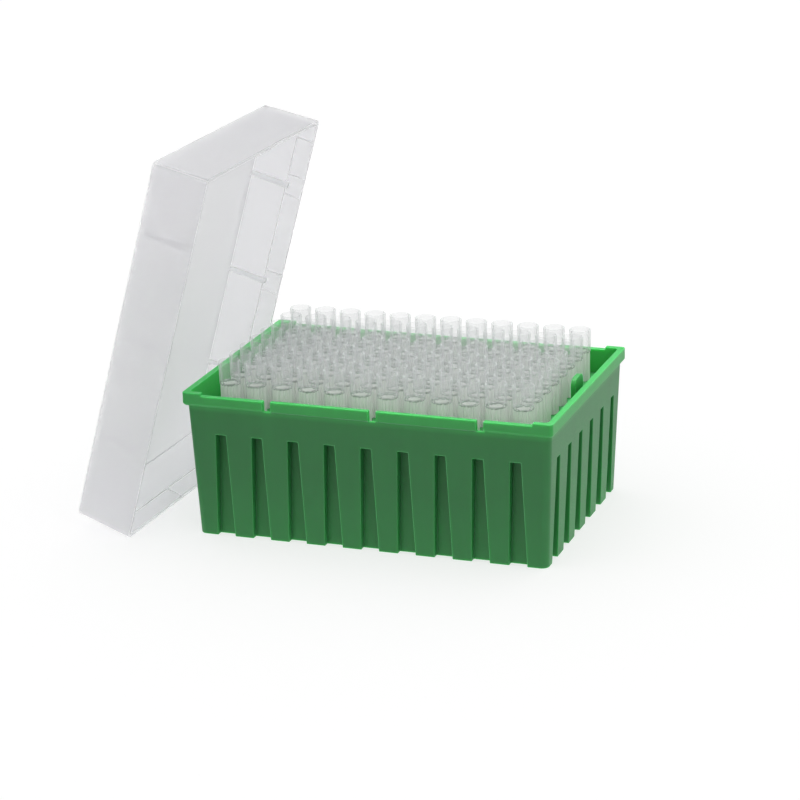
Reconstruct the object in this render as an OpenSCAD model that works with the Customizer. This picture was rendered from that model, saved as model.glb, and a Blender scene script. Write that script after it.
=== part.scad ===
// Box of pipette tips: a green moulded base, a perforated plate that stands in it,
// a grid of clear tips that hang in the plate, and a frosted lid that leans on the
// base's left end. Millimetres. The origin is the centre of the base's underside,
// +X runs along the long sides, -Y is the front and +Z is up.

/* [Tip grid] */
// Tip columns along the length
columns = 12; // [11:1:14]
// Tips in one column, across the width
rows = 8; // [6:1:10]
// Distance between neighbouring tips
tip_pitch = 9; // [8.8:0.1:12]

/* [Tip] */
// Whole length of a tip
tip_l = 51; // [44:0.5:70]
// Diameter of the socket that takes a pipette's nose
socket_d = 6.1; // [5.9:0.05:7.4]
// Wall round the socket at the mouth
mouth_wall = 0.53; // [0.4:0.01:0.7]
// Wall round the socket at the foot of the collar
collar_wall = 0.42; // [0.35:0.01:0.5]
// Length of the smooth collar that holds the socket
collar_l = 7.3; // [6:0.1:10]
// Height of the slope inside the collar, under the socket
socket_slope = 1.3; // [1:0.1:2]
// Length of the ribs under the collar
tip_rib_l = 10; // [6:0.5:14]
// How far each rib rests on the plate beside its hole
rib_seat = 0.4; // [0.25:0.05:0.5]
// Thickness of one rib
tip_rib_t = 0.45; // [0.3:0.05:0.6]
// Ribs round a tip
tip_rib_count = 16; // [8:1:20]
// Outside diameter of the shank where it enters the plate
shank_d = 5.3; // [4.4:0.1:5.5]
// How much wider the shank is under the collar
neck_flare = 0.4; // [0.2:0.1:0.5]
// Outside diameter where the taper changes
waist_d = 3.5; // [3:0.1:4.2]
// Height of that change above the tip's end
waist_h = 17.7; // [12:0.1:24]
// Outside diameter of the end
end_d = 0.9; // [0.8:0.05:1.4]
// Wall of the shank
tip_wall = 0.45; // [0.35:0.05:0.55]
// Wall at the end
end_wall = 0.22; // [0.18:0.02:0.3]

/* [Base] */
// From the outer tips' centres to the end walls, under the flange
end_margin = 11.55; // [10.5:0.05:15]
// From the outer tips' centres to the side walls, under the flange
side_margin = 9.8; // [9.2:0.05:13]
// Wall thickness
wall = 1.2; // [1:0.1:1.5]
// Floor thickness
floor_t = 1.5; // [1:0.1:2.5]
// Gap between the floor and the tips' ends
under_tip = 4.8; // [2:0.1:8]
// Depth of the plate's top below the end rims
plate_drop = 8.9; // [7:0.1:11]
// Draft of the walls, in degrees
draft = 2.4; // [1:0.1:3]
// Radius of the upright corners
corner_r = 2.5; // [2:0.1:4]

/* [Flange and rim] */
// Height of the flange round the rim
flange_h = 4.4; // [3.5:0.1:5.5]
// How far the flange stands out of the wall
flange_out = 1.03; // [0.8:0.01:1.5]
// Height of the slope under the flange
flange_slope_h = 0.7; // [0.4:0.1:1.2]
// Radius of the flange's corners
flange_r = 1.2; // [0.6:0.1:2]
// How much lower the side rims are than the end rims
rim_step = 0.9; // [0.5:0.1:1.5]
// Length of the raised corners of the side rims
corner_pad_l = 6.5; // [4:0.1:8]
// How far the middle of a side flange is set back
flange_relief = 0.45; // [0.2:0.05:0.6]
// Distance between the notches in a side rim
notch_pitch = 35.7; // [24:0.1:38]
// Distance of the middle notch from the centre
notch_shift = 2.7; // [0:0.1:5]
// Width of a notch
notch_w = 2.5; // [2:0.1:4]
// Depth of a notch below the side rim
notch_h = 3.4; // [2:0.1:3.5]

/* [Grooves] */
// Distance between the grooves in the walls
groove_pitch = 12.4; // [11:0.1:16]
// Width of a groove at its top
groove_top_w = 3.5; // [2.5:0.1:4.5]
// Width of a groove at the underside
groove_bottom_w = 6; // [4.5:0.1:7]
// Depth of a groove at the underside
groove_depth = 2.2; // [1.2:0.1:2.6]
// Least width of the plain wall at a corner
post_min = 5; // [5:0.1:9]
// Thickness of the ledge that closes a groove and carries the plate
ledge_t = 1.5; // [1:0.1:2]

/* [Tip plate] */
// Thickness of the perforated deck
deck_t = 2; // [1.5:0.1:3]
// Height of the plate's edge, which stands on the ledges
plate_edge_h = 3.5; // [3:0.1:5]
// Thickness of the plate's edge
plate_edge_t = 1.6; // [1.2:0.1:2]
// Clearance between the plate and the walls
plate_gap = 0.4; // [0.2:0.05:0.6]
// Clearance between a tip's shank and its hole
hole_gap = 0.2; // [0.1:0.05:0.25]
// Width of the finger lug at each end of the plate
lug_w = 9; // [6:0.5:14]
// Height of a lug above the deck
lug_h = 11.5; // [8:0.5:12]
// Thickness of a lug
lug_t = 1.5; // [1:0.1:1.8]
// Radius of a lug's upper corners
lug_r = 2.5; // [1:0.1:3]
// Distance of a lug from the plate's end
lug_inset = 0.8; // [0.4:0.1:1.2]

/* [Lid] */
// Clearance between the lid's skirt and the flange
lid_gap = 0.34; // [0.2:0.02:0.5]
// Thickness of the skirt
skirt_t = 1.1; // [0.9:0.05:1.5]
// Depth of the skirt, from the open edge to the step that sits on the rim
skirt_h = 6; // [5:0.1:8]
// Width of that step
lid_step = 0.6; // [0.45:0.05:0.8]
// Thickness of the closed panel
lid_top_t = 1.3; // [1:0.1:2]
// Free height between the tips' mouths and the closed panel
head_gap = 4.1; // [2:0.1:8]
// Draft of the lid's walls, in degrees
lid_draft = 2.7; // [1:0.1:3.5]
// Radius of the lid's upright corners
lid_r = 1.8; // [1.6:0.1:3]
// Radius of the closed panel's edge
lid_edge_r = 0.8; // [0.4:0.1:1.2]
// Clearance between a rib of the lid and its notch
notch_gap = 0.45; // [0.2:0.05:0.6]
// How far a rib stands out of the lid's wall at the step
lid_rib_out = 1.4; // [1:0.1:1.8]
// How far a rib reaches past the step
lid_rib_reach = 1.1; // [0.5:0.1:1.6]
// Clearance between the skirt's lands and the flange
land_gap = 0.12; // [0.08:0.02:0.2]
// Width of the lands at the ribs and at the middle of the ends
land_w = 7.2; // [4:0.1:9]
// Length of the lands at the corners
corner_land_l = 7; // [4:0.1:9]

/* [Leaning lid] */
// Lean of the standing lid towards the base, in degrees
lean = 15.8; // [10:0.1:25]
// Turn of the lid seen from above, in degrees
lid_turn = -2.2; // [-3:0.1:-0.5]
// How far the lid stands forward of the base's centre
lid_forward = 7.4; // [5.5:0.1:20]
// Gap between the lid's edge and the rim that it leans on
lean_gap = 0.25; // [0.1:0.05:0.3]

/* [Hidden] */
function column_name(c) = str("tips_column_", c < 10 ? "0" : "", c);
$fn = 48;
hull_fn = 32;
land = 0.2;
cut = 1;
green = [0.2, 0.5, 0.27];
plate_green = [0.22, 0.56, 0.3];
frosted = [0.86, 0.87, 0.9, 0.55];
clear = [0.88, 0.93, 0.92, 0.5];

// Heights, from the floor up through the tip to the rim
collar_foot = tip_l - collar_l;
rib_foot = collar_foot - tip_rib_l;
tip_end_z = floor_t + under_tip;
plate_top_z = tip_end_z + rib_foot;
mouth_z = tip_end_z + tip_l;
plate_foot_z = plate_top_z - plate_edge_h;
groove_top_z = plate_foot_z - ledge_t;
base_h = plate_top_z + plate_drop;
flange_z = base_h - flange_h;
side_rim_z = base_h - rim_step;

// Diameters that follow the socket and the hole that the tip hangs in
mouth_d = socket_d + 2 * mouth_wall;
collar_foot_d = socket_d + 2 * collar_wall;
neck_d = shank_d + neck_flare;
hole_d = shank_d + 2 * hole_gap;
tip_rib_d = hole_d + 2 * rib_seat;

// Outside sizes of the base, at the flange's foot and at the underside
body_l = (columns - 1) * tip_pitch + 2 * end_margin;
body_w = (rows - 1) * tip_pitch + 2 * side_margin;
flange_l = body_l + 2 * flange_out;
flange_w = body_w + 2 * flange_out;
foot_l = body_l - 2 * taper(flange_z);
foot_w = body_w - 2 * taper(flange_z);

// Grooves and notches
groove_reach = flange_out + taper(flange_z) + groove_depth;
long_grooves = groove_number(foot_l);
short_grooves = groove_number(foot_w);
notches = [for (i = [-1 : 1]) notch_shift + i * notch_pitch];

// Plate
plate_inset = wall + plate_gap + taper(flange_z - plate_foot_z);
plate_l = body_l - 2 * plate_inset;
plate_w = body_w - 2 * plate_inset;
plate_r = corner_r - wall;

// Lid, closed: its open edge at z = 0, its closed panel on top
lid_l = flange_l + 2 * (lid_gap + skirt_t);
lid_w = flange_w + 2 * (lid_gap + skirt_t);
lid_h = skirt_h + mouth_z - base_h + head_gap + lid_top_t;
lid_wall = skirt_t + lid_step;
lid_inner_r = lid_r - skirt_t;
lid_rib_w = notch_w - 2 * notch_gap;
lid_rib_foot = skirt_h - lid_rib_reach;

// Where the foot of the leaning lid stands
lid_run = base_h * tan(lean) * cos(lid_turn);
lid_swing = lid_w / 2 * sin(lid_turn);
lid_x = lid_swing - flange_l / 2 - lean_gap - lid_run;
lid_y = -lid_forward;

// Inward run of a drafted wall over a height
function taper(h) = h * tan(draft);

// How many grooves fit along a wall between its corner posts
function groove_number(l) = floor((l - 2 * post_min - groove_bottom_w) / groove_pitch) + 1;

// A point turned about the origin
function turned(p, a) = [p.x * cos(a) - p.y * sin(a), p.x * sin(a) + p.y * cos(a)];

// The round corners of an l by w block, as posts of height h standing at z
module corner_posts(l, w, r, z, h) {
    for (x = [-1, 1], y = [-1, 1])
        translate([x * (l / 2 - r), y * (w / 2 - r), z])
            cylinder(r = r, h = h, $fn = hull_fn);
}

// A block whose walls slope out by the draft, l by w where z is at_z
module drafted_block(l, w, r, at_z, z0, z1) {
    low = 2 * taper(at_z - z0);
    high = 2 * taper(z1 - at_z);
    hull() {
        corner_posts(l - low, w - low, r, z0, land);
        corner_posts(l + high, w + high, r, z1 - land, land);
    }
}

// A row of grooves in the wall that faces +Y, from depth y0 out to y1. The inside
// of the wall is the same row, grown by the wall and raised by the ledge.
module groove_row(number, y0, y1, grow, rise) {
    foot = groove_bottom_w / 2 + grow;
    top = groove_top_w / 2 + grow;
    head_z = groove_top_z + rise;
    outline = [[-foot, -cut], [foot, -cut], [top, head_z], [-top, head_z]];
    for (i = [0 : number - 1])
        translate([(i - (number - 1) / 2) * groove_pitch, y1, 0])
            rotate([90, 0, 0])
                linear_extrude(y1 - y0) polygon(outline);
}

module grooves(grow, rise) {
    for (turn = [0, 180]) rotate([0, 0, turn]) {
        y0 = foot_w / 2 - groove_depth - grow;
        groove_row(long_grooves, y0, y0 + groove_reach, grow, rise);
    }
    for (turn = [90, 270]) rotate([0, 0, turn]) {
        y0 = foot_l / 2 - groove_depth - grow;
        groove_row(short_grooves, y0, y0 + groove_reach, grow, rise);
    }
}

// Flange round the rim: a slope under a plain upright face
module flange() {
    hull() {
        corner_posts(body_l + flange_out, body_w + flange_out, flange_r, flange_z, land);
        corner_posts(flange_l, flange_w, flange_r, flange_z + flange_slope_h, flange_h - flange_slope_h);
    }
}

// What is taken off the side rims: their top, the notches and the set-back faces
module rim_cuts() {
    rim_l = flange_l - 2 * corner_pad_l;
    across = flange_w + 2 * cut;
    relief_l = 2 * notch_pitch;
    translate([-rim_l / 2, -across / 2, side_rim_z]) cube([rim_l, across, rim_step + cut]);
    for (x = notches)
        translate([x - notch_w / 2, -across / 2, side_rim_z - notch_h])
            cube([notch_w, across, notch_h + cut]);
    for (turn = [0, 180])
        translate([notch_shift, 0, 0]) rotate([0, 0, turn])
            translate([-relief_l / 2, flange_w / 2 - flange_relief, flange_z - cut])
                cube([relief_l, flange_relief + cut, flange_h + 2 * cut]);
}

module base() {
    color(green) difference() {
        union() {
            drafted_block(body_l, body_w, corner_r, flange_z, 0, flange_z + flange_slope_h);
            flange();
        }
        grooves(0, 0);
        difference() {
            drafted_block(body_l - 2 * wall, body_w - 2 * wall, plate_r, flange_z, floor_t, base_h + cut);
            grooves(wall, ledge_t);
        }
        rim_cuts();
    }
}

// An upright rounded rectangle, l by w, standing on z0
module rounded_slab(l, w, r, z0, h) {
    translate([0, 0, z0]) {
        for (x = [-1, 1], y = [-1, 1])
            translate([x * (l / 2 - r), y * (w / 2 - r), 0]) cylinder(r = r, h = h);
        translate([r - l / 2, -w / 2, 0]) cube([l - 2 * r, w, h]);
        translate([-l / 2, r - w / 2, 0]) cube([l, w - 2 * r, h]);
    }
}

// Finger lug: an upright tongue with round upper corners, in the YZ plane
module lug() {
    rotate([90, 0, 90]) linear_extrude(lug_t) {
        for (y = [-1, 1]) translate([y * (lug_w / 2 - lug_r), lug_h - lug_r]) circle(r = lug_r);
        translate([-lug_w / 2, -deck_t / 2]) square([lug_w, lug_h - lug_r + deck_t / 2]);
        translate([lug_r - lug_w / 2, 0]) square([lug_w - 2 * lug_r, lug_h]);
    }
}

// Centre of one hole of the grid, with columns and rows counted from 0
function grid_point(c, r) = [
    (c - (columns - 1) / 2) * tip_pitch,
    (r - (rows - 1) / 2) * tip_pitch
];

module tip_plate() {
    inner = 2 * plate_edge_t;
    color(plate_green) {
        difference() {
            rounded_slab(plate_l, plate_w, plate_r, plate_foot_z, plate_edge_h);
            translate([inner / 2 - plate_l / 2, inner / 2 - plate_w / 2, plate_foot_z - cut])
                cube([plate_l - inner, plate_w - inner, plate_edge_h - deck_t + cut]);
            for (c = [0 : columns - 1], r = [0 : rows - 1])
                translate(concat(grid_point(c, r), [plate_foot_z - cut]))
                    cylinder(d = hole_d, h = plate_edge_h + 2 * cut);
        }
        for (turn = [0, 180]) rotate([0, 0, turn])
            translate([plate_l / 2 - lug_inset - lug_t, 0, plate_top_z]) lug();
    }
}

// One tip, standing on its end at z = 0
module tip() {
    socket_foot = collar_foot + socket_slope;
    rib_root = shank_d / 2 - tip_wall / 2;
    rib_tip = tip_rib_d / 2;
    half_t = tip_rib_t / 2;
    rib_corners = [[rib_root, -half_t], [rib_tip, -half_t], [rib_tip, half_t], [rib_root, half_t]];
    difference() {
        union() {
            rotate_extrude() polygon([
                [0, 0], [end_d / 2, 0], [waist_d / 2, waist_h], [shank_d / 2, rib_foot],
                [neck_d / 2, collar_foot], [collar_foot_d / 2, collar_foot],
                [mouth_d / 2, tip_l], [0, tip_l]
            ]);
            translate([0, 0, rib_foot]) linear_extrude(tip_rib_l) polygon([
                for (k = [0 : tip_rib_count - 1], p = rib_corners) turned(p, k * 360 / tip_rib_count)
            ]);
        }
        rotate_extrude() polygon([
            [0, -cut], [end_d / 2 - end_wall, -cut], [end_d / 2 - end_wall, 0],
            [waist_d / 2 - tip_wall, waist_h], [shank_d / 2 - tip_wall, rib_foot],
            [neck_d / 2 - tip_wall, collar_foot], [socket_d / 2, socket_foot],
            [socket_d / 2, tip_l + cut], [0, tip_l + cut]
        ]);
    }
}

module tips_column(c) {
    color(clear) for (r = [0 : rows - 1])
        translate(concat(grid_point(c - 1, r), [tip_end_z])) tip();
}

// Outside of the closed lid
module lid_outside() {
    run = 2 * tan(lid_draft);
    shoulder = lid_h - lid_edge_r;
    edge = run * lid_h + lid_edge_r;
    hull() {
        corner_posts(lid_l, lid_w, lid_r, 0, land);
        corner_posts(lid_l - run * shoulder, lid_w - run * shoulder, lid_r, shoulder - land, land);
        corner_posts(lid_l - edge, lid_w - edge, lid_r, lid_h - land, land);
    }
}

// Hollow of the lid above the skirt, carried down to the open edge
module lid_hollow() {
    run = 2 * tan(lid_draft);
    ceiling = lid_h - lid_top_t;
    narrowing = run * (ceiling - skirt_h);
    l = lid_l - 2 * lid_wall;
    w = lid_w - 2 * lid_wall;
    hull() {
        corner_posts(l, w, lid_inner_r, -cut, skirt_h + cut);
        corner_posts(l - narrowing, w - narrowing, lid_inner_r, ceiling - land, land);
    }
}

// Blocks that mark where the skirt keeps its lands: the corners, both sides of
// each rib, and the middle of each end
module land_blocks() {
    corner_l = 2 * (corner_land_l + skirt_t);
    for (x = [-1, 1], y = [-1, 1])
        translate([x * lid_l / 2, y * lid_w / 2, skirt_h / 2])
            cube([corner_l, corner_l, skirt_h + 4 * cut], center = true);
    for (x = notches)
        translate([x, 0, skirt_h / 2]) cube([land_w, 2 * lid_w, skirt_h + 4 * cut], center = true);
    translate([0, 0, skirt_h / 2]) cube([2 * lid_l, land_w, skirt_h + 4 * cut], center = true);
}

// Room for the flange inside the skirt: a close fit at the lands, wider between them
module skirt_room() {
    land_l = flange_l + 2 * land_gap;
    land_wide = flange_w + 2 * land_gap;
    room_l = flange_l + 2 * lid_gap;
    room_w = flange_w + 2 * lid_gap;
    rounded_slab(land_l, land_wide, flange_r, -cut, skirt_h + cut);
    difference() {
        rounded_slab(room_l, room_w, flange_r, -cut, skirt_h + cut);
        land_blocks();
    }
}

// Ribs on the side walls, which stand in the notches of the rim
module lid_ribs() {
    step_y = lid_w / 2 - lid_wall;
    depth = lid_rib_out + lid_step;
    height = lid_h - lid_top_t / 2 - lid_rib_foot;
    for (turn = [0, 1], x = notches) mirror([0, turn, 0])
        translate([x - lid_rib_w / 2, step_y - lid_rib_out, lid_rib_foot])
            cube([lid_rib_w, depth, height]);
}

module closed_lid() {
    difference() {
        lid_outside();
        lid_hollow();
        skirt_room();
    }
    lid_ribs();
}

// The lid stands on one end of its open edge and leans on the base's left rim
module lid() {
    color(frosted)
        translate([lid_x, lid_y, 0])
            rotate([0, 0, lid_turn])
                rotate([0, lean - 90, 0])
                    translate([lid_l / 2, 0, 0]) closed_lid();
}

base();
tip_plate();
lid();
for (c = [1 : columns]) tips_column(c);
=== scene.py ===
# %% [markdown]
# # A box of pipette tips
# The object is a green box with a corrugated wall, a perforated plate that stands
# inside it, ninety-six clear tips that hang in the plate, and a frosted lid that
# leans on the box. The measured model is loaded first and is never moved. Every piece
# below sits in the same frame: the origin is the middle of the box's underside, X runs
# along the long sides, -Y is the front and Z is up.

# %% Load the measured model
from math import atan2, cos, degrees, hypot, pi, radians, sin, tan

import bmesh
import bpy
from mathutils import Matrix, Vector


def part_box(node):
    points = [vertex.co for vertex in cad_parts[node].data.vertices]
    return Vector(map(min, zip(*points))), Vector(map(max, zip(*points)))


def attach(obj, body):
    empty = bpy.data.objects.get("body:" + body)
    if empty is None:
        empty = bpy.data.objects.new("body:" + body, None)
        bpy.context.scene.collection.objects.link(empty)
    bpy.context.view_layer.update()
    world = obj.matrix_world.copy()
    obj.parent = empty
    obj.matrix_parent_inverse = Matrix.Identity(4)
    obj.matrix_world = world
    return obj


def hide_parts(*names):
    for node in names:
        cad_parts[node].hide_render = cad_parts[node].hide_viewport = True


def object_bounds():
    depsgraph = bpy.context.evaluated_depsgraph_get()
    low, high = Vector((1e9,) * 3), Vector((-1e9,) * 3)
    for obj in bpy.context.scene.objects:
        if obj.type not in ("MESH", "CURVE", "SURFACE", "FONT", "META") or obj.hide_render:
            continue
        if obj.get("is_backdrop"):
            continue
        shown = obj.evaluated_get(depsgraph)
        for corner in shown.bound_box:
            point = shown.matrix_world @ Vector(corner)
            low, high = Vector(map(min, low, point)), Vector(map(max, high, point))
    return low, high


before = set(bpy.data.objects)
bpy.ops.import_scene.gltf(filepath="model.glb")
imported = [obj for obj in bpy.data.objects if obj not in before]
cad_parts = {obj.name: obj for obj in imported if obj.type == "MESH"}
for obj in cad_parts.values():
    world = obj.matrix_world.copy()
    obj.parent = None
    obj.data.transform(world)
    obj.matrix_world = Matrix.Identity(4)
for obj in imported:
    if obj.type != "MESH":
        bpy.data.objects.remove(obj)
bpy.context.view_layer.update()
scene = bpy.context.scene

# %% [markdown]
# ## Millimetres
# A mould maker draws in millimetres and Blender works in metres, so each piece is
# drawn in millimetres and shrunk once, when its mesh is finished. The object stays at
# the origin, unturned, because its place is in its mesh. Faces are shaded smooth, and
# the edges that turn by more than the given angle stay crisp. Weighted normals keep the
# large faces flat, so that only the narrow roundings beside them turn the light.

# %% Finish a mesh as an object
MM = 0.001


def place_in_scene(name, bm):
    mesh = bpy.data.meshes.new(name)
    bm.to_mesh(mesh)
    bm.free()
    obj = bpy.data.objects.new(name, mesh)
    scene.collection.objects.link(obj)
    return obj


def finish_piece(name, bm, materials, crisp):
    bmesh.ops.scale(bm, vec=(MM, MM, MM), verts=bm.verts)
    obj = place_in_scene(name, bm)
    obj.data.shade_smooth()
    obj.data.set_sharp_from_angle(angle=radians(crisp))
    even_shading = obj.modifiers.new("even shading", "WEIGHTED_NORMAL")
    even_shading.keep_sharp = True
    for material in materials:
        obj.data.materials.append(material)
    obj.data.calc_loop_triangles()
    print(name, "has", len(obj.data.loop_triangles), "triangles")
    return obj


def measured(node):
    return [[round(value / MM, 1) for value in corner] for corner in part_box(node)]


print("lowest and highest corner of the measured base, in mm:", measured("base"))

# %% [markdown]
# ## The camera
# The box is seen from the front, turned 20 degrees to its right and 18 degrees from
# above, through a long lens from almost a metre away, so that its edges stay nearly
# parallel. The camera's three directions follow from those angles, and the last one
# is the camera's own small tilt. It could also be aimed with a Track To constraint, but
# then the tilt would need a second object.

# %% Camera
turn, elevation, tilt = radians(19.981), radians(18.134), radians(-1.432)
distance, to_the_right, upwards = 980.283, -3.618, 36.393
backward = Vector((sin(turn) * cos(elevation), -cos(turn) * cos(elevation), sin(elevation)))
level = Vector((cos(turn), sin(turn), 0))
rise = backward.cross(level)
rightward = cos(tilt) * level + sin(tilt) * rise
upward = cos(tilt) * rise - sin(tilt) * level

lens = bpy.data.cameras.new("camera")
lens.sensor_width = 36
lens.lens = 132.9
lens.clip_start, lens.clip_end = 0.05, 30
camera = bpy.data.objects.new("camera", lens)
scene.collection.objects.link(camera)
stand = (distance * backward + to_the_right * rightward + upwards * upward) * MM
axes = Matrix((rightward, upward, backward)).transposed().to_4x4()
camera.matrix_world = Matrix.Translation(stand) @ axes
scene.camera = camera
print("camera at", [round(c, 3) for c in stand])

# %% [markdown]
# ## Floor and light
# Clear plastic has almost no colour of its own and shows what stands round it, so it
# needs a bright, even room. Small parts are often shot on a lit white table for that
# reason: light comes from all sides, even from below, and there is hardly a shadow. The
# floor here glows like such a table. It would also stop the light from below, so only
# the camera and the clear parts see it, and the lower half of the sky lights the object
# from underneath in its place.

# %% Floor
FLOOR_HALF, FLOOR_GREY, FLOOR_GLOW = 4, 0.4, 0.66

floor_bm = bmesh.new()
bmesh.ops.create_grid(floor_bm, x_segments=1, y_segments=1, size=FLOOR_HALF)
floor = place_in_scene("floor", floor_bm)
floor_paint = bpy.data.materials.new("floor paint")
floor_paint.use_nodes = True
floor_shader = floor_paint.node_tree.nodes["Principled BSDF"]
floor_shader.inputs["Base Color"].default_value = (FLOOR_GREY, FLOOR_GREY, FLOOR_GREY, 1)
floor_shader.inputs["Roughness"].default_value = 0.9
floor_shader.inputs["Emission Color"].default_value = (1, 1, 1, 1)
floor_shader.inputs["Emission Strength"].default_value = FLOOR_GLOW
floor.data.materials.append(floor_paint)
floor.visible_diffuse = floor.visible_shadow = False
floor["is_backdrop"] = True
print("floor:", 2 * FLOOR_HALF, "m wide")

# %% [markdown]
# The sky is bright overhead, dimmer at eye level and bright again below. The walls face
# the dim band, so they keep their deep green. One large soft lamp overhead fills the
# open box with light and adds the glint on the rim. A room of lit panels could be built
# instead, but three stops of a colour ramp are easier to tune.

# %% Sky
BELOW, AT_EYE_LEVEL, OVERHEAD = 1.0, 0.465, 1.02

scene.view_settings.view_transform = "Standard"
sky = bpy.data.worlds.new("studio")
sky.use_nodes = True
scene.world = sky
sky_nodes, sky_links = sky.node_tree.nodes, sky.node_tree.links
direction = sky_nodes.new("ShaderNodeTexCoord")
parts_of_direction = sky_nodes.new("ShaderNodeSeparateXYZ")
up_share = sky_nodes.new("ShaderNodeMapRange")
up_share.inputs["From Min"].default_value = -1
band = sky_nodes.new("ShaderNodeValToRGB")
band.color_ramp.elements.new(0.5)
sky_stops = zip(band.color_ramp.elements, (0, 0.5, 1), (BELOW, AT_EYE_LEVEL, OVERHEAD))
for stop, share, strength in sky_stops:
    stop.position, stop.color = share, (strength, strength, strength, 1)
sky_links.new(direction.outputs["Generated"], parts_of_direction.inputs[0])
sky_links.new(parts_of_direction.outputs["Z"], up_share.inputs["Value"])
sky_links.new(up_share.outputs[0], band.inputs[0])
sky_links.new(band.outputs["Color"], sky_nodes["Background"].inputs["Color"])
print("sky stops:", [round(stop.position, 2) for stop in band.color_ramp.elements])

# %% Lamp
LAMP_LENGTH, LAMP_WIDTH, LAMP_POWER = 1.4, 1.2, 26

soft_lamp = bpy.data.lights.new("soft lamp", "AREA")
soft_lamp.shape = "RECTANGLE"
soft_lamp.size, soft_lamp.size_y, soft_lamp.energy = LAMP_LENGTH, LAMP_WIDTH, LAMP_POWER
lamp_holder = bpy.data.objects.new("soft lamp", soft_lamp)
scene.collection.objects.link(lamp_holder)
lamp_holder.location = (0.1, 0.3, 1.4)
lamp_holder.rotation_euler = lamp_holder.location.to_track_quat("Z", "Y").to_euler()
print("lamp:", soft_lamp.energy, "W")

# %% [markdown]
# A ray that enters the box may pass the walls of eight clear tips before it leaves, so
# the renderer has to follow it through more surfaces than usual.

# %% Depth of the light paths
scene.cycles.transparent_max_bounces = 64
scene.cycles.max_bounces = 16
scene.cycles.transmission_bounces = 16
scene.cycles.diffuse_bounces = 8
print("a ray passes up to", scene.cycles.transparent_max_bounces, "clear surfaces")

# %% [markdown]
# ## Plastics
# Every part is moulded plastic. One helper starts each material from the shader's plain
# numbers, and the others add nodes where the real surface varies. Patterns are read in
# object coordinates, which are metres here, so they keep their true size on every part.

# %% Material helpers
def plastic(name, colour, roughness, **plain):
    material = bpy.data.materials.new(name)
    material.use_nodes = True
    shader = material.node_tree.nodes["Principled BSDF"]
    shader.inputs["Base Color"].default_value = (*colour, 1)
    shader.inputs["Roughness"].default_value = roughness
    for socket, value in plain.items():
        shader.inputs[socket.replace("_", " ")].default_value = value
    return material, shader


def add(shader, kind, **inputs):
    tree = shader.id_data
    node = tree.nodes.new("ShaderNode" + kind)
    if kind == "Mix":
        node.data_type = "RGBA"
    for name, value in inputs.items():
        socket = node.inputs[name.replace("_", " ")]
        if isinstance(value, bpy.types.NodeSocket):
            tree.links.new(value, socket)
        else:
            socket.default_value = value
    return node


def feed(shader, socket, output):
    shader.id_data.links.new(output, shader.inputs[socket])


def spread(shader, value, start, end, low, high):
    node = add(
        shader, "MapRange", Value=value, From_Min=start, From_Max=end, To_Min=low, To_Max=high
    )
    return node.outputs[0]


def total(shader, *values):
    result = values[0]
    for value in values[1:]:
        node = add(shader, "Math")
        for socket, part in zip(node.inputs, (result, value)):
            shader.id_data.links.new(part, socket)
        result = node.outputs[0]
    return result


def power(shader, value, exponent):
    node = add(shader, "Math")
    node.operation, node.inputs[1].default_value = "POWER", exponent
    shader.id_data.links.new(value, node.inputs[0])
    return node.outputs[0]


# %% [markdown]
# A pattern starts from a place on the piece. Its height alone makes a band or a ring, and
# noise makes grain, which a stretch along Z turns into upright streaks.

# %% Pattern helpers
def places(shader):
    return add(shader, "TexCoord").outputs["Object"]


def height(shader):
    return add(shader, "SeparateXYZ", Vector=places(shader)).outputs["Z"]


def grain(shader, size, stretch=(1, 1, 1)):
    where = add(shader, "Mapping", Vector=places(shader), Scale=stretch).outputs[0]
    return add(shader, "TexNoise", Vector=where, Scale=1 / (size * MM), Detail=3).outputs[0]


def roughen(shader, size, depth, smoothest, roughest):
    cells = grain(shader, size)
    feed(shader, "Roughness", spread(shader, cells, 0.35, 0.65, smoothest, roughest))
    bump = add(shader, "Bump", Strength=0.5, Distance=depth * MM, Height=cells)
    feed(shader, "Normal", bump.outputs[0])


# %% [markdown]
# ### The green walls
# The box is polypropylene with green pigment, moulded in a steel whose skin was eroded
# by sparks, which leaves it satin. Light enters the plastic a few millimetres and comes
# out again, and the subsurface weight does that. Where a lot of light gets in, at the
# thick flange, at the foot, along the edges and on the inside of the thin walls, the
# colour is painted lighter and purer than on the shaded outside: painted light, a ramp
# up to the flange, a ramp down to the foot and lit copies of the green for the edges
# and the inside. Faint upright streaks are the flow of the melt.

# %% Green plastic
FOOT_GLOW_Z = 22
STREAK_SIZE, SPARK_SIZE, SPARK_DEPTH = 6, 0.35, 0.01


def green(name, shade, light, shaded_to, lit_from):
    material, shader = plastic(
        name, shade, 0.45, Specular_IOR_Level=0.35,
        Subsurface_Weight=1, Subsurface_Scale=3 * MM, Subsurface_Radius=(0.4, 1, 0.5),
    )
    # painted light: the base colour turns lighter up towards the flange and down at the foot
    lit = spread(shader, height(shader), shaded_to * MM, lit_from * MM, 0, 0.9)
    foot = spread(shader, height(shader), FOOT_GLOW_Z * MM, 0, 0, 0.25)
    streaks = spread(shader, grain(shader, STREAK_SIZE, (1, 1, 0.15)), 0.3, 0.7, 0, 0.1)
    amount = total(shader, lit, foot, streaks)
    colour = add(shader, "Mix", Factor=amount, A=(*shade, 1), B=(*light, 1))
    feed(shader, "Base Color", colour.outputs["Result"])
    roughen(shader, SPARK_SIZE, SPARK_DEPTH, 0.4, 0.5)
    print(name, "is lit from z =", lit_from, "mm up")
    return material


green_plastic = green("green plastic", (0.023, 0.2, 0.052), (0.035, 0.365, 0.08), 42.5, 44.8)
# painted highlight: a lighter green for the roundings of the edges
green_edge_highlight = green("green plastic, painted edge highlight", (0.09, 0.45, 0.15), (0.05, 0.38, 0.1), 42.5, 44.8)
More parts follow.
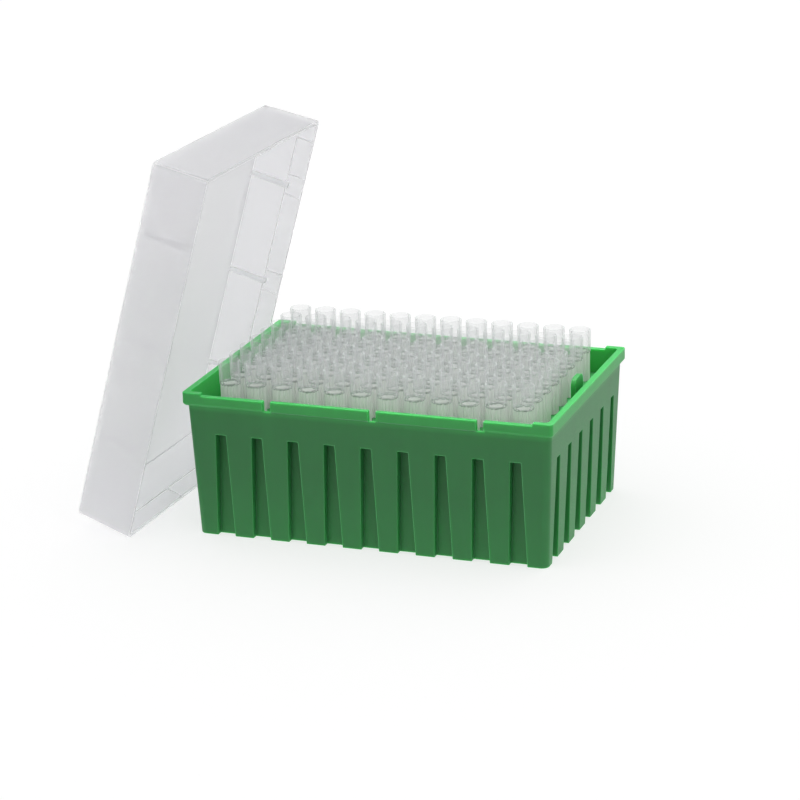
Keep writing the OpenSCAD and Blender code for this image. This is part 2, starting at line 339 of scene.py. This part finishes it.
# painted light: a lit copy of the green for the inside of the walls
green_inside_lit = green("green plastic, inside, painted light", (0.025, 0.24, 0.055), (0.05, 0.46, 0.09), 36, 46)
# painted light: the plate's green also turns lighter with height
plate_plastic = green("plate plastic", (0.023, 0.22, 0.05), (0.028, 0.3, 0.06), 40, 44)

# %% [markdown]
# ### The frosted lid
# The lid is the same plastic without pigment. A thin shell of it scatters the light
# that enters, which the subsurface weight does, lets some through blurred, and lets
# some straight through, which is what a low alpha does. Seen at a slant there is more
# plastic in the way, so the shell closes and greys there, and Layer Weight measures
# the slant. The slow streaks are the uneven thickness a mould leaves. The edges have a
# brighter material of their own, a painted light for the light that travels inside the
# sheet and comes out there.

# %% Frosted plastic
CLOUD_SIZE = 25


def frosted(name, colour, grey, alpha, closed):
    material, shader = plastic(
        name, colour, 0.3, Transmission_Weight=0.3,
        Subsurface_Weight=1, Subsurface_Scale=2 * MM, Subsurface_Radius=(1, 1, 1),
    )
    slant = add(shader, "LayerWeight", Blend=0.5).outputs["Facing"]
    cloud = spread(shader, grain(shader, CLOUD_SIZE, (1, 1, 0.3)), 0, 1, -0.1, 0.3)
    greyness = total(shader, spread(shader, slant, 0.4, 0.9, 0, 0.5), cloud)
    tone = add(shader, "Mix", Factor=greyness, A=(*colour, 1), B=(*grey, 1))
    feed(shader, "Base Color", tone.outputs["Result"])
    feed(shader, "Alpha", spread(shader, slant, 0.4, 0.9, alpha, closed))
    print(name, "closes from", alpha, "to", closed)
    return material


frosted_plastic = frosted(
    "frosted plastic", (0.92, 0.91, 0.98), (0.88, 0.875, 0.94), 0.48, 0.52
)
frosted_edge_light = frosted(
    "frosted plastic, painted edge light", (0.97, 0.97, 1), (0.9, 0.9, 0.93), 0.85, 0.95
)

# %% [markdown]
# ### The clear tips
# A tip is so thin and clear that the eye sees it by its outlines: the mouth's edge, the
# sides where the wall is seen along its length, and the ribs, which scatter light.
# Glass with true refraction would need many samples for ninety-six of them, so each
# wall is partly open instead. It is most open where it faces the eye, and it closes
# and darkens towards its sides, which is what Layer Weight measures. The ribbed part
# below the collar scatters light all over, so it is whiter and more closed. Where the
# ribs meet the collar there is a ledge, and a broken dark ring of painted shadow lies
# in its crease. The mouth's flat edge looks straight at the lamp, and a little grey
# there keeps it from burning out.

# %% Clear plastic, its colour up the tip
RIBBED, COLLAR = (0.98, 0.98, 0.97, 1), (0.88, 0.88, 0.9, 1)
# the third colour is a painted shadow for the crease at the ledge
LEDGE_SHADOW, OUTLINE = (0.12, 0.2, 0.15, 1), (0.45, 0.52, 0.48, 1)
RING_Z, MOUTH_Z = 49.85 * MM, 57.25 * MM
RING_REACH, MOUTH_BAND = 0.7 * MM, 0.25 * MM

clear_plastic, clear_shader = plastic("clear plastic", COLLAR[:3], 0.15)
tip_z = height(clear_shader)
breaks = spread(clear_shader, grain(clear_shader, 0.9), 0.3, 0.7, -0.15, 0.15)
# painted shadow: a dark ring round the crease where the ribs meet the collar
near_ledge_shadow = spread(clear_shader, tip_z, RING_Z - RING_REACH, RING_Z + RING_REACH, 0, 1)
along = total(clear_shader, near_ledge_shadow, breaks)
ledge_ramp = add(clear_shader, "ValToRGB", Fac=along)
for share, colour in ((0.3, RIBBED), (0.42, LEDGE_SHADOW), (0.56, LEDGE_SHADOW), (0.68, COLLAR)):
    stop = ledge_ramp.color_ramp.elements.new(share)
    stop.color = colour
ledge_ramp.color_ramp.elements[0].color = RIBBED
ledge_ramp.color_ramp.elements[-1].color = COLLAR
print("the ring is at z =", round(RING_Z / MM, 2), "mm")

# %% [markdown]
# A power of the slant keeps the outline narrow: the wall stays open over most of its
# width and closes only in the last part of the turn. The collar is more open than the
# ribs, and fine upright streaks in the roughness are the polish marks of the mould.

# %% Clear plastic, its outlines
sideways = add(clear_shader, "LayerWeight", Blend=0.5).outputs["Facing"]
at_mouth = spread(clear_shader, tip_z, MOUTH_Z - MOUTH_BAND, MOUTH_Z, 0, 0.4)
darkness = total(clear_shader, power(clear_shader, sideways, 4), at_mouth)
darker = add(clear_shader, "Mix", Factor=darkness, A=ledge_ramp.outputs[0], B=OUTLINE)
feed(clear_shader, "Base Color", darker.outputs["Result"])
on_collar = spread(clear_shader, tip_z, RING_Z, RING_Z + 0.5 * MM, 0, 1)
facing_wall = spread(clear_shader, on_collar, 0, 1, 0.6, 0.1)
closing = power(clear_shader, sideways, 2.8)
feed(clear_shader, "Alpha", spread(clear_shader, closing, 0, 1, facing_wall, 0.92))
streak = grain(clear_shader, 0.8, (1, 1, 0.1))
feed(clear_shader, "Roughness", spread(clear_shader, streak, 0, 1, 0.05, 0.3))
print("materials:", [material.name for material in bpy.data.materials])

# %% [markdown]
# ## Blocks and cuts
# The box and the lid are drafted: their walls lean a few degrees, so that the moulding
# slides off the steel. The same block serves for the outside, the hollow and the
# flange. It starts as a cube, its corners move to their places, and a bevel rounds the
# upright edges. A mould's cores take away whole shapes at once, and a Boolean does the
# same here.

# %% Blocks
def drafted_block(length, width, radius, bottom, top, level=0, lean=0):
    bm = bmesh.new()
    bmesh.ops.create_cube(bm, size=1)
    for v in bm.verts:
        z = top if v.co.z > 0 else bottom
        wider = 2 * lean * (z - level)
        v.co = (v.co.x * (length + wider), v.co.y * (width + wider), z)
    if radius:
        upright = [e for e in bm.edges if abs(e.verts[0].co.z - e.verts[1].co.z) > 1e-3]
        bmesh.ops.bevel(
            bm, geom=upright, offset=radius, offset_type="OFFSET", segments=7,
            profile=0.5, affect="EDGES", material=-1,
        )
    return bm


def slab(low, high):
    bm = bmesh.new()
    bmesh.ops.create_cube(bm, size=1)
    size = Vector(high) - Vector(low)
    bmesh.ops.scale(bm, vec=size, verts=bm.verts)
    bmesh.ops.translate(bm, vec=Vector(low) + size / 2, verts=bm.verts)
    return bm


trial = drafted_block(10, 8, radius=1, bottom=0, top=5)
print("a block with rounded upright edges has", len(trial.faces), "faces")
trial.free()

# %% [markdown]
# Joining puts meshes side by side in one, and a Boolean makes one solid of two. The exact
# solver is slower than the fast one, but it copes with faces that lie in one plane, and
# a box with slab-like cuts is full of those. Softening comes last: it merges the doubles
# and flat pieces that the cuts left, and rounds every sharp edge, since no moulded edge
# is truly sharp and it is the roundings that catch the light.

# %% Join, cut and soften
def put_together(*parts):
    whole = bmesh.new()
    for part in parts:
        mesh = bpy.data.meshes.new("part")
        part.to_mesh(mesh)
        part.free()
        whole.from_mesh(mesh)
        bpy.data.meshes.remove(mesh)
    return whole


def boolean(body, tool, operation):
    held, cutter = place_in_scene("held", body), place_in_scene("cutter", tool)
    step = held.modifiers.new("cut", "BOOLEAN")
    step.operation, step.solver, step.object = operation, "EXACT", cutter
    result = bmesh.new()
    result.from_object(held, bpy.context.evaluated_depsgraph_get())
    for obj in (held, cutter):
        bpy.data.meshes.remove(obj.data)
    return result


def soften(bm, width, least_angle=25):
    bmesh.ops.remove_doubles(bm, verts=bm.verts, dist=0.002)
    bmesh.ops.dissolve_limit(bm, angle_limit=radians(0.5), verts=bm.verts, edges=bm.edges)
    sharp = [
        e for e in bm.edges if e.is_manifold and e.calc_face_angle() > radians(least_angle)
    ]
    bmesh.ops.bevel(
        bm, geom=sharp, offset=width, offset_type="OFFSET", segments=2, profile=0.5,
        affect="EDGES", clamp_overlap=False, material=-1,
    )
    print("softened", len(sharp), "edges")


trial = boolean(slab((0, 0, 0), (4, 4, 4)), slab((2, 2, 2), (5, 5, 5)), "DIFFERENCE")
print("a cube without one corner has", len(trial.faces), "faces")
trial.free()

# %% [markdown]
# ## The box
# The wall is one thin sheet of plastic folded in and out. Upright grooves, wider at
# the bottom, stiffen it, and their closed tops make the ledges that carry the plate.
# So the same row of wedges is cut from the outside, and again, larger by the wall and
# higher by the ledge, left standing in the hollow. First comes the solid outside: the
# leaning body, and the flange with a small slope under it.

# %% Outside of the box
body_length, body_width, body_lean, flange_z = 122.1, 82.6, tan(radians(2.4)), 44.5
foot_length = body_length - 2 * flange_z * body_lean
foot_width = body_width - 2 * flange_z * body_lean
flange_length, flange_width, slope_in, slope_down = 124.16, 84.66, 1.03, 0.7
wall, floor_thickness, ledge, rim_z = 1.2, 1.5, 1.5, 48.9

flange = drafted_block(
    flange_length, flange_width, radius=1.2, bottom=flange_z + slope_down, top=rim_z
)
underside = [f for f in flange.faces if f.normal.z < -0.9]
lowered = bmesh.ops.extrude_face_region(flange, geom=underside)["geom"]
bmesh.ops.delete(flange, geom=underside, context="FACES")
ring = [v for v in lowered if isinstance(v, bmesh.types.BMVert)]
bmesh.ops.translate(flange, vec=(0, 0, -slope_down), verts=ring)
smaller = (1 - slope_in / flange_length, 1 - slope_in / flange_width, 1)
bmesh.ops.scale(flange, vec=smaller, verts=ring)
body = drafted_block(
    body_length, body_width, radius=2.5, bottom=0, top=45, level=flange_z, lean=body_lean
)
box = boolean(body, flange, "UNION")
print("outside of the box:", len(box.faces), "faces")

# %% [markdown]
# A groove is a wedge: a cube whose upper corners are drawn together. One row of wedges
# stands along a side, and turned copies of the row serve the other three sides. The
# Boolean takes the rows at once, which is quicker than groove by groove.

# %% Grooves
GROOVE_PITCH, GROOVE_DEPTH, GROOVE_TOP_Z = 12.4, 2.2, 35.0
HALF_AT_TOP, HALF_AT_FOOT = 1.75, 3
PAST_WALL, PAST_FLOOR = 8, -1
ALONG_SIDE, ALONG_END = 9, 6


def wedge_row(number, inner, grow, up_to, turned):
    wedges = []
    for i in range(number):
        bm = bmesh.new()
        bmesh.ops.create_cube(bm, size=2)
        middle = (i - (number - 1) / 2) * GROOVE_PITCH
        for v in bm.verts:
            half = (HALF_AT_TOP if v.co.z > 0 else HALF_AT_FOOT) + grow
            depth = inner - grow if v.co.y < 0 else inner + PAST_WALL
            v.co = (middle + half * v.co.x, depth, up_to if v.co.z > 0 else PAST_FLOOR)
        quarter = Matrix.Rotation(radians(turned), 3, "Z")
        bmesh.ops.rotate(bm, cent=(0, 0, 0), matrix=quarter, verts=bm.verts)
        wedges.append(bm)
    return wedges


def all_wedges(grow, up_to):
    wedges = []
    for turned in (0, 180):
        wedges += wedge_row(ALONG_SIDE, foot_width / 2 - GROOVE_DEPTH, grow, up_to, turned)
        wedges += wedge_row(
            ALONG_END, foot_length / 2 - GROOVE_DEPTH, grow, up_to, turned + 90
        )
    return put_together(*wedges)


row_length = (ALONG_SIDE - 1) * GROOVE_PITCH
print("the grooves of a long side span", round(row_length, 1), "mm between their middles")

# %% Grooves and hollow
box = boolean(box, all_wedges(0, GROOVE_TOP_Z), "DIFFERENCE")
hollow = drafted_block(
    body_length - 2 * wall, body_width - 2 * wall, radius=1.3, bottom=floor_thickness,
    top=rim_z + 1, level=flange_z, lean=body_lean,
)
hollow = boolean(hollow, all_wedges(wall, GROOVE_TOP_Z + ledge), "DIFFERENCE")
box = boolean(box, hollow, "DIFFERENCE")
print("box with its grooves:", len(box.faces), "faces")

# %% [markdown]
# The side rims are a little lower than the end rims, except at the four corners. Three
# notches in each side take the lid's ribs, and between the outer notches the face of
# the flange is set back by the thickness of a fingernail. Each is a slab taken away.

# %% Rim
SIDE_RIM_Z, CORNER_X, CLEAR_OF_BOX, ABOVE_RIM = 48.0, 55.58, 50, 60
NOTCH_HALF, NOTCH_FLOOR_Z, RELIEF_Y, RELIEF_Z = 1.25, 44.4, 41.88, 43.5
rib_places = (-33.0, 2.7, 38.4)

lower_rim = slab((-CORNER_X, -CLEAR_OF_BOX, SIDE_RIM_Z), (CORNER_X, CLEAR_OF_BOX, ABOVE_RIM))
box = boolean(box, lower_rim, "DIFFERENCE")
for x in rib_places:
    low_corner = (x - NOTCH_HALF, -CLEAR_OF_BOX, NOTCH_FLOOR_Z)
    notch = slab(low_corner, (x + NOTCH_HALF, CLEAR_OF_BOX, ABOVE_RIM))
    box = boolean(box, notch, "DIFFERENCE")
for side in (-1, 1):
    inner, outer = sorted((side * RELIEF_Y, side * CLEAR_OF_BOX))
    relief = slab((rib_places[0], inner, RELIEF_Z), (rib_places[2], outer, ABOVE_RIM))
    box = boolean(box, relief, "DIFFERENCE")
soften(box, 0.2)

# %% [markdown]
# The inside of the walls gets the lighter green, a painted light. Its faces are the large
# ones near the outside of the box that look towards its middle. The narrow faces are the
# roundings of the edges, and those that look up, down or to the left get the edge green,
# a painted highlight. Picking faces by size and direction holds even where a Boolean has
# changed their order.

# %% The box as an object
LARGE_FACE, NEAR_OUTSIDE, NARROW = 20, 7, 0.2
FACES_MIDDLE, LEFTWARD, UP_OR_DOWN = 0.7, 0.1, 0.3


def looks_inwards(face):
    middle = face.calc_center_median()
    in_x = abs(middle.x) > body_length / 2 - NEAR_OUTSIDE
    in_y = abs(middle.y) > body_width / 2 - NEAR_OUTSIDE
    in_x = in_x and face.normal.x * middle.x < -FACES_MIDDLE * abs(middle.x)
    in_y = in_y and face.normal.y * middle.y < -FACES_MIDDLE * abs(middle.y)
    return in_x or in_y


for face in box.faces:
    # painted light: the large inner faces get the lit copy of the green
    if face.calc_area() > LARGE_FACE and looks_inwards(face):
        face.material_index = 1
    narrow = face.calc_area() < NARROW * max(edge.calc_length() for edge in face.edges)
    # painted highlight: narrow roundings that look left, up or down get the edge green
    if narrow and (face.normal.x < -LEFTWARD or abs(face.normal.z) > UP_OR_DOWN):
        face.material_index = 2
box_object = finish_piece("box", box, [green_plastic, green_inside_lit, green_edge_highlight], crisp=50)
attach(box_object, "root")
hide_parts("base")

# %% [markdown]
# ## The plate
# The plate is flat, with straight holes and two finger lugs. The measured solid already
# has that shape, so it stays and only gets its plastic.

# %% Plate
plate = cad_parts["tip_plate"]
plate.data.materials.clear()
plate.data.materials.append(plate_plastic)
print("lowest and highest corner of the plate, in mm:", measured("tip_plate"))

# %% [markdown]
# ## A tip
# A tip is round, so half of its section is drawn once, down the outside and up the
# inside, and spun about the tip's axis. The spin has 48 steps, three to a rib: two
# hold the rib's crest and the third is pushed in to make the valley between ribs. The
# valleys are deeper in the lower part of the ribs than in the upper part.

# %% One tip
RIB_RADIUS, LOWER_VALLEY, UPPER_VALLEY = 3.25, 2.66, 2.85
RIBS_FROM_Z, VALLEY_STEP_Z, RIBS_TO_Z = 33, 40, 43.6
SPIN_STEPS, STEPS_TO_A_RIB = 48, 3
outside = [
    (0.45, 0), (1.75, 17.7), (2.65, 33.7), (RIB_RADIUS, 33.7), (RIB_RADIUS, 43.45),
    (3.47, 43.7), (3.575, 50.8), (3.5, 51),
]
inside = [
    (3.15, 51), (3.05, 50.8), (3.05, 45), (2.4, 43.7), (2.2, 33.7), (1.3, 17.7), (0.23, 0),
]


def one_tip():
    bm = bmesh.new()
    line = [bm.verts.new((r, 0, z)) for r, z in outside + inside]
    edges = [bm.edges.new((line[i - 1], line[i])) for i in range(len(line))]
    bmesh.ops.spin(
        bm, geom=line + edges, cent=(0, 0, 0), axis=(0, 0, 1), angle=2 * pi,
        steps=SPIN_STEPS, use_merge=True,
    )
    for v in bm.verts:
        on_crest = abs(hypot(v.co.x, v.co.y) - RIB_RADIUS) < 0.01
        step = round(degrees(atan2(v.co.y, v.co.x)) / (360 / SPIN_STEPS))
        if on_crest and RIBS_FROM_Z < v.co.z < RIBS_TO_Z and step % STEPS_TO_A_RIB == 0:
            valley = LOWER_VALLEY if v.co.z < VALLEY_STEP_Z else UPPER_VALLEY
            v.co.x, v.co.y = v.co.x * valley / RIB_RADIUS, v.co.y * valley / RIB_RADIUS
    bmesh.ops.remove_doubles(bm, verts=bm.verts, dist=0.02)
    bmesh.ops.recalc_face_normals(bm, faces=bm.faces)
    return bm


print("a tip has", len(one_tip().faces), "faces")

# %% [markdown]
# The tips stand on the 9 mm grid that pipettes with eight or twelve channels share. A
# person or a machine drops them into the plate, so no two are turned alike. Each gets its
# own twist, which breaks up the pattern of ribs, and a column of eight is one piece.

# %% Twelve columns of tips
TIP_END_Z, TIP_PITCH, COLUMNS, ROWS = 6.3, 9, 12, 8
ROW_TWIST, COLUMN_TWIST = 11, 23

for c in range(COLUMNS):
    column = bmesh.new()
    for r in range(ROWS):
        tip = one_tip()
        twist = Matrix.Rotation(radians(ROW_TWIST * r + COLUMN_TWIST * c), 3, "Z")
        bmesh.ops.rotate(tip, cent=(0, 0, 0), matrix=twist, verts=tip.verts)
        x, y = (c - (COLUMNS - 1) / 2) * TIP_PITCH, (r - (ROWS - 1) / 2) * TIP_PITCH
        bmesh.ops.translate(tip, vec=(x, y, TIP_END_Z), verts=tip.verts)
        column = put_together(column, tip)
    node = f"tips_column_{c + 1:02d}"
    tips = finish_piece(f"tips_{c + 1:02d}", column, [clear_plastic], crisp=30)
    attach(tips, "root")
    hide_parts(node)

# %% [markdown]
# ## The lid
# The lid is a shallow tray. Its skirt fits round the flange, a step inside it sits on
# the rim, and six ribs stand in the notches. It is made closed and level, where every
# wall is easy to name, and then laid against the box. The tray comes first: the outside
# with its top edge rounded, and the hollow above the step.

# %% Tray of the lid
lid_length, lid_width, lid_height, lid_lean = 127.04, 87.54, 19.8, -tan(radians(2.7))
skirt, ceiling, two_walls = 6, 18.5, 3.4

lid = drafted_block(
    lid_length, lid_width, radius=1.8, bottom=0, top=lid_height, level=0, lean=lid_lean
)
top_edges = [e for e in lid.edges if min(v.co.z for v in e.verts) > lid_height - 0.01]
bmesh.ops.bevel(
    lid, geom=top_edges, offset=0.8, offset_type="OFFSET", segments=3, profile=0.5,
    affect="EDGES", material=-1,
)
tray = drafted_block(
    lid_length - two_walls, lid_width - two_walls, radius=0.7, bottom=4, top=ceiling,
    level=skirt, lean=lid_lean,
)
lid = boolean(lid, tray, "DIFFERENCE")
print("tray of the lid:", len(lid.faces), "faces")

# %% [markdown]
# The skirt is cut out twice. The first cut goes all the way round, close to the flange.
# The second is a little wider and thins the skirt, but it stops at pads on the corners,
# at the ribs and at the middle of the ends, where the lid touches the flange and is
# kept from rattling. The six ribs are added last.

# %% Skirt and ribs
FLANGE_FIT, ROOM_FIT = (124.4, 84.9), (124.84, 85.34)
CORNER_PAD, PAD_HALF, PAD_TOP_Z = 8.1, 3.6, 9
PAST_LID, PAST_SIDES, PAST_ENDS = -5, 60, 90
RIB_HALF, RIB_INNER_Y, RIB_OUTER_Y, RIB_FOOT_Z, RIB_TOP_Z = 0.8, 40.67, 42.67, 4.9, 19.15

close_fit = drafted_block(*FLANGE_FIT, radius=1.2, bottom=-1, top=skirt)
lid = boolean(lid, close_fit, "DIFFERENCE")
room = drafted_block(*ROOM_FIT, radius=1.2, bottom=-2, top=skirt)
for x in (-1, 1):
    for y in (-1, 1):
        cx, cy = x * lid_length / 2, y * lid_width / 2
        low = (cx - CORNER_PAD, cy - CORNER_PAD, PAST_LID)
        pad = slab(low, (cx + CORNER_PAD, cy + CORNER_PAD, PAD_TOP_Z))
        room = boolean(room, pad, "DIFFERENCE")
for x in rib_places:
    pad = slab((x - PAD_HALF, -PAST_SIDES, PAST_LID), (x + PAD_HALF, PAST_SIDES, PAD_TOP_Z))
    room = boolean(room, pad, "DIFFERENCE")
end_pads = slab((-PAST_ENDS, -PAD_HALF, PAST_LID), (PAST_ENDS, PAD_HALF, PAD_TOP_Z))
room = boolean(room, end_pads, "DIFFERENCE")
lid = boolean(lid, room, "DIFFERENCE")
for x in rib_places:
    for side in (-1, 1):
        inner, outer = sorted((side * RIB_INNER_Y, side * RIB_OUTER_Y))
        rib = slab((x - RIB_HALF, inner, RIB_FOOT_Z), (x + RIB_HALF, outer, RIB_TOP_Z))
        lid = boolean(lid, rib, "UNION")
soften(lid, 0.15)

# %% [markdown]
# The edges that get the painted light are picked by what they are: the roundings, which
# are narrow and turn two ways at once, the ribs, which are seen from their thin side,
# and the small faces where roundings meet.

# %% Edges of the lid
SLANTED, HALFWAY, ROUNDING_WIDTH, SMALL_FACE = 0.3, 0.6, 0.16, 4
RIB_REACH_X, RIB_REACH_Y = 0.9, 42


def is_edge(face):
    area, longest = face.calc_area(), max(edge.calc_length() for edge in face.edges)
    second_way = sorted(abs(share) for share in face.normal)[1]
    centre = face.calc_center_median()
    nearest_rib = min(abs(centre.x - place) for place in rib_places)
    on_rib = abs(centre.y) < RIB_REACH_Y and nearest_rib < RIB_REACH_X
    rounding = area < ROUNDING_WIDTH * longest and second_way > SLANTED
    return on_rib or rounding or second_way > HALFWAY or area < SMALL_FACE


lid_edges = [face for face in lid.faces if is_edge(face)]
for face in lid_edges:
    # painted light: these faces get the brighter frosted material
    face.material_index = 1
print("closed lid:", len(lid.faces), "faces,", len(lid_edges), "of them on edges")

# %% [markdown]
# The lid stands on one short side and leans on the box's left end, a little past
# upright. It is moved in four steps, read from the right: its short side comes to the
# origin, it tips up, it turns a little on the table, and it goes to its place.

# %% Lean the lid on the box
LID_TURN, LID_STAND, LID_PLACE = -2.2, 15.8 - 90, (-77.837, -7.4, 0)

to_origin = Matrix.Translation((lid_length / 2, 0, 0))
tip_up = Matrix.Rotation(radians(LID_STAND), 4, "Y")
turn_on_table = Matrix.Rotation(radians(LID_TURN), 4, "Z")
pose = Matrix.Translation(LID_PLACE) @ turn_on_table @ tip_up @ to_origin
bmesh.ops.transform(lid, matrix=pose, verts=lid.verts)
lid_object = finish_piece("frosted_lid", lid, [frosted_plastic, frosted_edge_light], crisp=50)
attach(lid_object, "root")
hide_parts("lid")

# %% [markdown]
# The lamp that fills the box would burn out the lid's upper end, which looks straight at
# it. In a studio, a card would be held between the two. In Blender the same is done with
# light linking: the lamp gets a collection of what it leaves out, and the lid is lit by
# the sky alone, which shows its even grey. The glowing floor is bright enough without the
# lamp, so it is left out too.

# %% Shade the lid and the floor from the lamp
shaded = bpy.data.collections.new("shaded from the lamp")
for obj in (lid_object, floor):
    shaded.objects.link(obj)
for entry in shaded.collection_objects:
    entry.light_linking.link_state = "EXCLUDE"
lamp_holder.light_linking.receiver_collection = shaded

# %% [markdown]
# ## Sizes
# The last step measures what was made and prints its size in millimetres.

# %% Sizes, and the end
low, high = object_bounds()
print("visual size in mm:", [round(1000 * side, 1) for side in high - low])
